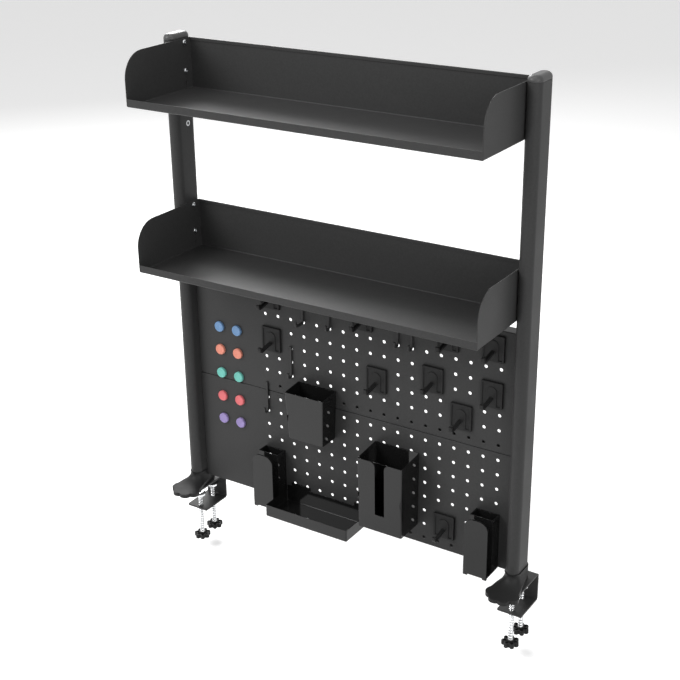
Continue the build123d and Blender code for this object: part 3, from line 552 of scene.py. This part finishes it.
class RACK_OT_clamps(bpy.types.Operator):
    """Clamp screws: threaded rods, swivelling pads and star knobs"""
    bl_idname = "rack.clamps"
    bl_label = "Clamp screws"

    def execute(self, context):
        fittings = context.scene.rack_fittings
        play = 0.2 * MM  # between the thread's end and the pad
        for clamp in CLAMPS:
            low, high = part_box("clamp_rod_" + clamp)
            pad_low, pad_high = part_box("clamp_pad_" + clamp)
            centre = (Vector(low) + Vector(high)) / 2
            host = new_object("threaded_rod_" + clamp, bpy.data.meshes.new("threaded_rod_" + clamp))
            rod = run_tree(host, thread_tree(), {
                "Radius": (high[0] - low[0]) / 2, "Depth": fittings.thread_depth, "Pitch": fittings.thread,
                "Length": pad_low[2] - play - low[2], "Place": (centre.x, centre.y, low[2]),
                "Finish": material("chrome")})
            finish(rod, None, "screw_" + clamp, "clamp_rod_" + clamp)
            dress(["clamp_pad_" + clamp], "chrome", fittings.edge)
            self.knob(fittings, clamp)
        return {"FINISHED"}

    def knob(self, fittings, clamp):
        """Lobed knob, open at the top, with a hub round the rod and a rib to each lobe."""
        node = "star_knob_" + clamp
        low, high = (Vector(corner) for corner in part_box(node))
        rod_low, rod_high = (Vector(corner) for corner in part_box("clamp_rod_" + clamp))
        rod_radius = (rod_high.x - rod_low.x) / 2
        axis = rod_low + Vector((rod_radius, rod_radius, 0))
        reach = high.x - axis.x
        boss, wall, edge = 2 * MM, fittings.knob_wall, 0.9 * MM
        depth = 5.5 * MM  # of the hollow inside the wall
        draft = 0.3 * MM
        top = high.z - boss
        rings = [self.lobed(fittings.lobes, reach, edge, low.z), self.lobed(fittings.lobes, reach, 0, low.z + edge)]
        rings.append(self.lobed(fittings.lobes, reach, 0, top - edge))
        rings.append(self.lobed(fittings.lobes, reach, edge * 0.3, top - edge * 0.3))
        rings.append(self.lobed(fittings.lobes, reach, edge, top))
        rings.append(self.lobed(fittings.lobes, reach, edge + wall, top))
        rings.append(self.lobed(fittings.lobes, reach, edge + wall + draft, top - depth))
        steps = len(rings[0])
        rings.append(circle(fittings.hub, top - depth, steps))
        rings.append(circle(fittings.hub, high.z - 0.5 * MM, steps))
        rings.append(circle(fittings.hub - 0.5 * MM, high.z, steps))
        points, faces = skin(rings)
        for i in range(fittings.lobes):
            angle = tau * (i + 0.5) / fittings.lobes
            rib_points, rib_faces = self.rib(fittings, reach - wall - edge, top - 6 * MM, top - 1 * MM, angle)
            faces += [tuple(len(points) + corner for corner in face) for face in rib_faces]
            points += rib_points
        points = [point + Vector((axis.x, axis.y, 0)) for point in points]
        knob = new_object(node + "_finished", mesh_from(node + "_finished", points, faces))
        finish(knob, "moulded", "screw_" + clamp, node)

    def lobed(self, lobes, reach, inset, z):
        """Ring round a lobed outline, moved in by inset."""
        # Shares of the knob's reach, and the steps round one lobe.
        core_share, lobe_share, lobe_steps = 0.745, 0.24, 16
        core, lobe = reach * core_share, reach * lobe_share
        centre = reach - lobe
        steps = lobes * lobe_steps
        ring = []
        for i in range(steps):
            angle = tau * i / steps
            off = (angle + pi / lobes) % (tau / lobes) - pi / lobes
            side = centre * sin(off)
            radius = core
            if abs(side) < lobe:
                radius = max(core, centre * cos(off) + (lobe ** 2 - side ** 2) ** 0.5)
            radius -= inset
            ring.append(Vector((radius * cos(angle), radius * sin(angle), z)))
        return ring

    def rib(self, fittings, reach, low, high, angle):
        """Thin upright wall from the hub to the knob's wall."""
        half = fittings.knob_wall / 2.4
        far = reach * 0.8  # where the rib meets the inside of the wall, between two lobes
        along = Vector((cos(angle), sin(angle), 0))
        across = Vector((-sin(angle), cos(angle), 0))
        near = fittings.hub - half
        plan = [along * near - across * half, along * far - across * half,
                along * far + across * half, along * near + across * half]
        return skin([[point + Vector((0, 0, z)) for point in plan] for z in (low, high)])


class RACK_OT_shelves(bpy.types.Operator):
    """The two folded shelves"""
    bl_idname = "rack.shelves"
    bl_label = "Shelves"

    def execute(self, context):
        dress(["shelf_middle", "shelf_top"], "steel", context.scene.rack_fittings.edge)
        return {"FINISHED"}


class RACK_OT_board(bpy.types.Operator):
    """The two perforated panels with their folded edges"""
    bl_idname = "rack.board"
    bl_label = "Pegboard"

    def execute(self, context):
        board = context.scene.rack_board
        tree = perforated_tree()
        for name in ("pegboard_upper", "pegboard_lower"):
            low, high = (Vector(corner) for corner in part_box(name))
            middle = (low + high) / 2
            width, height = high.x - low.x, high.z - low.z
            grid = low.x + board.first + (board.columns - 1) * board.pitch / 2
            host = new_object(name + "_sheet", bpy.data.meshes.new(name + "_sheet"))
            sheet = run_tree(host, tree, {
                "Width": width - 2 * board.bend, "Height": height - 2 * board.bend, "Pitch": board.pitch,
                "Hole Radius": board.hole, "Sheet": board.sheet, "Grid X": grid, "Centre Z": middle.z,
                "Columns": board.columns, "Rows": board.rows, "Finish": material("steel")})
            finish(sheet, None, "frame", name, smooth=30)
            section = self.folded_edge(board, high.y)
            rings = [[Vector((x * (width / 2 - inset), y, middle.z + z * (height / 2 - inset)))
                      for x, z in ((-1, -1), (1, -1), (1, 1), (-1, 1))] for inset, y in section]
            points, faces = skin(rings, closed=True)
            edge = new_object(name + "_edge", mesh_from(name + "_edge", points, faces))
            finish(edge, "steel", "frame")
        return {"FINISHED"}

    def folded_edge(self, board, depth):
        """(inset, y) points round the section of a folded edge."""
        steps = 6
        outer = [(board.bend * (1 - sin(pi / 2 * i / steps)), board.bend * (1 - cos(pi / 2 * i / steps)))
                 for i in range(steps + 1)]
        inner_bend = board.bend - board.sheet
        inner = [(board.bend - inner_bend * sin(pi / 2 * i / steps), board.bend - inner_bend * cos(pi / 2 * i / steps))
                 for i in range(steps, -1, -1)]
        return outer + [(0, depth), (board.lip, depth), (board.lip, depth - board.sheet),
                        (board.sheet, depth - board.sheet)] + inner


class RACK_OT_screws(bpy.types.Operator):
    """Screws that hold the shelves and the panels to the posts"""
    bl_idname = "rack.screws"
    bl_label = "Screws"

    def execute(self, context):
        fittings = context.scene.rack_fittings
        for name in ("shelf_screws", "board_screws"):
            low, high = (Vector(corner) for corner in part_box(name))
            places = []
            for side in (-1, 1):
                for y, z in self.rows(name, low, high):
                    tip = low.x if side < 0 else high.x
                    places.append((Vector((tip, y, z)), (0, side * -pi / 2, 0)))
            piece = copies(name + "_finished", self.screw(fittings), "zinc", places)
            finish(piece, None, "frame", name)
        return {"FINISHED"}

    def rows(self, name, low, high):
        """(y, z) of the screws on one side, read from the CAD node's own heads."""
        middle_y = (low.y + high.y) / 2
        points = [vertex.co for vertex in frame["nodes"][name].data.vertices if vertex.co.x < 0]
        heights = sorted({round(point.z, 4) for point in points})
        groups = [[heights[0]]]
        gap = 8 * MM  # more than any step within one head
        for height in heights[1:]:
            if height - groups[-1][-1] > gap:
                groups.append([])
            groups[-1].append(height)
        return [(middle_y, (group[0] + group[-1]) / 2) for group in groups]

    def screw(self, fittings):
        """Screw on the Z axis with its tip at the origin, a domed head and a hexagonal socket."""
        head, height = fittings.head, fittings.head_height
        shank = 2.4 * MM
        top = 11.6 * MM
        dome_steps = 7
        dome_share, crown_share = 0.55, 0.65  # of the head's radius and of its height
        rings = [circle(shank, 0), circle(shank, top - height), circle(head, top - height)]
        for i in range(1, dome_steps):
            angle = pi / 2 * i / dome_steps
            radius = head * (1 - dome_share + dome_share * cos(angle))
            rings.append(circle(radius, top - height * crown_share * (1 - sin(angle))))
        rings.append(circle(fittings.socket * 1.25, top))
        rings.append(hexagon(fittings.socket, top - 0.1 * MM))
        rings.append(hexagon(fittings.socket, top - 1.4 * MM))
        points, faces = skin(rings)
        piece = new_object("screw", mesh_from("screw", points, faces))
        piece.data.shade_smooth()
        piece.data.set_sharp_from_angle(angle=radians(40))
        return piece


class RACK_OT_hooks(bpy.types.Operator):
    """Plate hooks, slim hooks and the long hook"""
    bl_idname = "rack.hooks"
    bl_label = "Hooks"

    def execute(self, context):
        width = context.scene.rack_fittings.moulded_edge
        copied_nodes("plate_hooks", PLATE_HOOKS, "moulded", width)
        copied_nodes("slim_hooks", SLIM_HOOKS, "steel", width / 2)
        dress(["long_hook"], "steel", width / 2)
        return {"FINISHED"}


class RACK_OT_magnets(bpy.types.Operator):
    """Round magnets on the plain part of the board"""
    bl_idname = "rack.magnets"
    bl_label = "Magnets"

    def execute(self, context):
        for node in MAGNETS:
            low, high = (Vector(corner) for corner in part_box(node))
            radius = (high.z - low.z) / 2
            height = high.y - low.y
            middle = (low.z + high.z) / 2
            places = [(Vector((x, high.y, middle)), (pi / 2, 0, 0)) for x in (low.x + radius, high.x - radius)]
            colour_name = node.split("_")[1]
            piece = copies("magnet_pair_" + colour_name, self.button(radius, height), colour_name, places)
            finish(piece, None, "frame", node)
        return {"FINISHED"}

    def button(self, radius, height):
        """Round button on the Z axis with a soft edge and a dished face."""
        steps, arc_steps = 48, 6
        round_edge = 1.6 * MM
        rings = [circle(radius * 0.97, 0, steps), circle(radius, 0.3 * MM, steps)]
        angles = [pi / 2 * i / arc_steps for i in range(arc_steps + 1)]
        for angle in angles:
            inset = round_edge * (1 - cos(angle))
            rings.append(circle(radius - inset, height - round_edge * (1 - sin(angle)), steps))
        dish, depth = radius * 0.74, 0.9 * MM
        for angle in angles:
            rings.append(circle(dish * cos(angle) + 0.02 * MM, height - depth * sin(angle), steps))
        points, faces = skin(rings)
        piece = new_object("button", mesh_from("button", points, faces))
        piece.data.shade_smooth()
        piece.data.set_sharp_from_angle(angle=radians(50))
        return piece


class RACK_OT_cups(bpy.types.Operator):
    """Cups, tray and holders that hang on the board"""
    bl_idname = "rack.cups"
    bl_label = "Cups, tray and holders"

    def execute(self, context):
        width = context.scene.rack_fittings.cup_edge
        dress(["pen_cup", "slotted_cup", "tray", "holder_left", "holder_right"], "polished", width)
        return {"FINISHED"}


class RACK_OT_stage(bpy.types.Operator):
    """Camera, lamps, white surroundings and a pale floor"""
    bl_idname = "rack.stage"
    bl_label = "Stage"

    def execute(self, context):
        scene = context.scene
        stage = scene.rack_stage
        self.camera(scene, stage)
        self.surroundings(scene, stage)
        self.floor()
        # Each lamp has its place, the side of its square in metres, and its power.
        self.lamp("Key lamp", (-1.6, -1.9, 2.1), 1.6, stage.key)
        self.lamp("Top lamp", (0.1, -0.45, 2.3), 1.2, stage.top)
        self.lamp("Side lamp", (2.0, -1.1, 1.2), 1.2, stage.side)
        self.lamp("Rear lamp", (-1.85, 1.7, 2.0), 1.3, stage.rear)
        scene.view_settings.view_transform = "Standard"
        return {"FINISHED"}

    def camera(self, scene, stage):
        """Camera at the photographed angle."""
        data = bpy.data.cameras.new("Camera")
        data.lens = stage.lens
        data.sensor_width = 36
        data.clip_end = 50
        camera = bpy.data.objects.new("Camera", data)
        scene.collection.objects.link(camera)
        a, e = stage.azimuth, stage.elevation
        back = Vector((sin(a) * cos(e), -cos(a) * cos(e), sin(e)))
        right = Vector((cos(a), sin(a), 0))
        facing = Matrix((right, back.cross(right), back)).transposed() @ Matrix.Rotation(stage.roll, 3, "Z")
        camera.matrix_world = Matrix.Translation(stage.place) @ facing.to_4x4()
        scene.camera = camera

    def surroundings(self, scene, stage):
        """White to the camera and in reflections, softer as a light."""
        world = bpy.data.worlds.new("Surroundings")
        world.use_nodes = True
        tree = world.node_tree
        tree.nodes.clear()
        path = add(tree, "ShaderNodeLightPath")
        seen = add(tree, "ShaderNodeMath", {"operation": "MAXIMUM"}, {0: path.outputs["Is Camera Ray"],
                                                                      1: path.outputs["Is Glossy Ray"]})
        shown = add(tree, "ShaderNodeMath", {"operation": "MAXIMUM"}, {0: seen.outputs[0],
                                                                       1: path.outputs["Is Transmission Ray"]})
        strength = add(tree, "ShaderNodeMapRange", inputs={"Value": shown.outputs[0], "To Min": stage.ambient,
                                                           "To Max": 1.0})
        light = add(tree, "ShaderNodeBackground", inputs={"Color": (1, 1, 1, 1),
                                                          "Strength": strength.outputs["Result"]})
        add(tree, "ShaderNodeOutputWorld", inputs={"Surface": light.outputs["Background"]})
        scene.world = world

    def floor(self):
        """Pale floor, low enough for the clamp screws' travel; it keeps the shadow."""
        level = CAD_BOX[0][2] - 20 * MM
        size = 12.0
        corners = [(-size, -size, level), (size, -size, level), (size, size, level), (-size, size, level)]
        floor = new_object("floor", mesh_from("floor", corners, [(0, 1, 2, 3)]))
        made, tree, shader, place = new_material("Matt white paper")
        fibre = add(tree, "ShaderNodeTexNoise", inputs={"Vector": place, "Scale": 1 / (4 * MM)})
        tint = add(tree, "ShaderNodeMix", {"data_type": "RGBA"}, {0: fibre.outputs["Fac"], 6: (0.9, 0.9, 0.9, 1),
                                                                  7: (0.93, 0.93, 0.93, 1)})
        path = add(tree, "ShaderNodeLightPath")
        seen = add(tree, "ShaderNodeMath", {"operation": "MAXIMUM"}, {0: path.outputs["Is Camera Ray"],
                                                                      1: path.outputs["Is Glossy Ray"]})
        shown = add(tree, "ShaderNodeMath", {"operation": "MAXIMUM"}, {0: seen.outputs[0],
                                                                       1: path.outputs["Is Transmission Ray"]})
        glow = add(tree, "ShaderNodeMath", {"operation": "MULTIPLY"}, {0: shown.outputs[0], 1: 0.35})
        tree.links.new(tint.outputs[2], shader.inputs["Base Color"])
        tree.links.new(glow.outputs[0], shader.inputs["Emission Strength"])
        shader.inputs["Emission Color"].default_value = (1, 1, 1, 1)
        shader.inputs["Roughness"].default_value = 0.9
        floor.data.materials.append(made)

    def lamp(self, name, place, size, power):
        """Square lamp aimed at the middle of the rack."""
        data = bpy.data.lights.new(name, "AREA")
        data.energy = power
        data.size = size
        lamp = bpy.data.objects.new(name, data)
        bpy.context.scene.collection.objects.link(lamp)
        aim = Vector((0, 0, 0.35)) - Vector(place)
        lamp.matrix_world = Matrix.Translation(place) @ aim.to_track_quat("-Z", "Y").to_matrix().to_4x4()


OPERATORS = (RACK_OT_frame, RACK_OT_clamps, RACK_OT_shelves, RACK_OT_board, RACK_OT_screws, RACK_OT_hooks,
             RACK_OT_magnets, RACK_OT_cups, RACK_OT_stage)
GROUPS = {"rack_board": RackBoard, "rack_fittings": RackFittings, "rack_finishes": RackFinishes,
          "rack_stage": RackStage}


class RACK_PT_panel(bpy.types.Panel):
    """Sizes, colours and pieces of the rack"""
    bl_idname = "RACK_PT_panel"
    bl_label = "Organizer rack"
    bl_space_type = "VIEW_3D"
    bl_region_type = "UI"
    bl_category = "Rack"

    def draw(self, context):
        for name, group in GROUPS.items():
            box = self.layout.box()
            box.label(text=group.__doc__.rstrip("."))
            for prop in group.__annotations__:
                box.prop(getattr(context.scene, name), prop)
        for operator in OPERATORS:
            self.layout.operator(operator.bl_idname)


def register():
    for kind in (*GROUPS.values(), *OPERATORS, RACK_PT_panel):
        bpy.utils.register_class(kind)
    for name, group in GROUPS.items():
        setattr(bpy.types.Scene, name, PointerProperty(type=group))


def unregister():
    for name in GROUPS:
        delattr(bpy.types.Scene, name)
    for kind in reversed((*GROUPS.values(), *OPERATORS, RACK_PT_panel)):
        bpy.utils.unregister_class(kind)


def main():
    """Make every piece and the stage."""
    register()
    bpy.ops.rack.frame()
    bpy.ops.rack.clamps()
    bpy.ops.rack.shelves()
    bpy.ops.rack.board()
    bpy.ops.rack.screws()
    bpy.ops.rack.hooks()
    bpy.ops.rack.magnets()
    bpy.ops.rack.cups()
    bpy.ops.rack.stage()


if __name__ == "__main__":
    main()
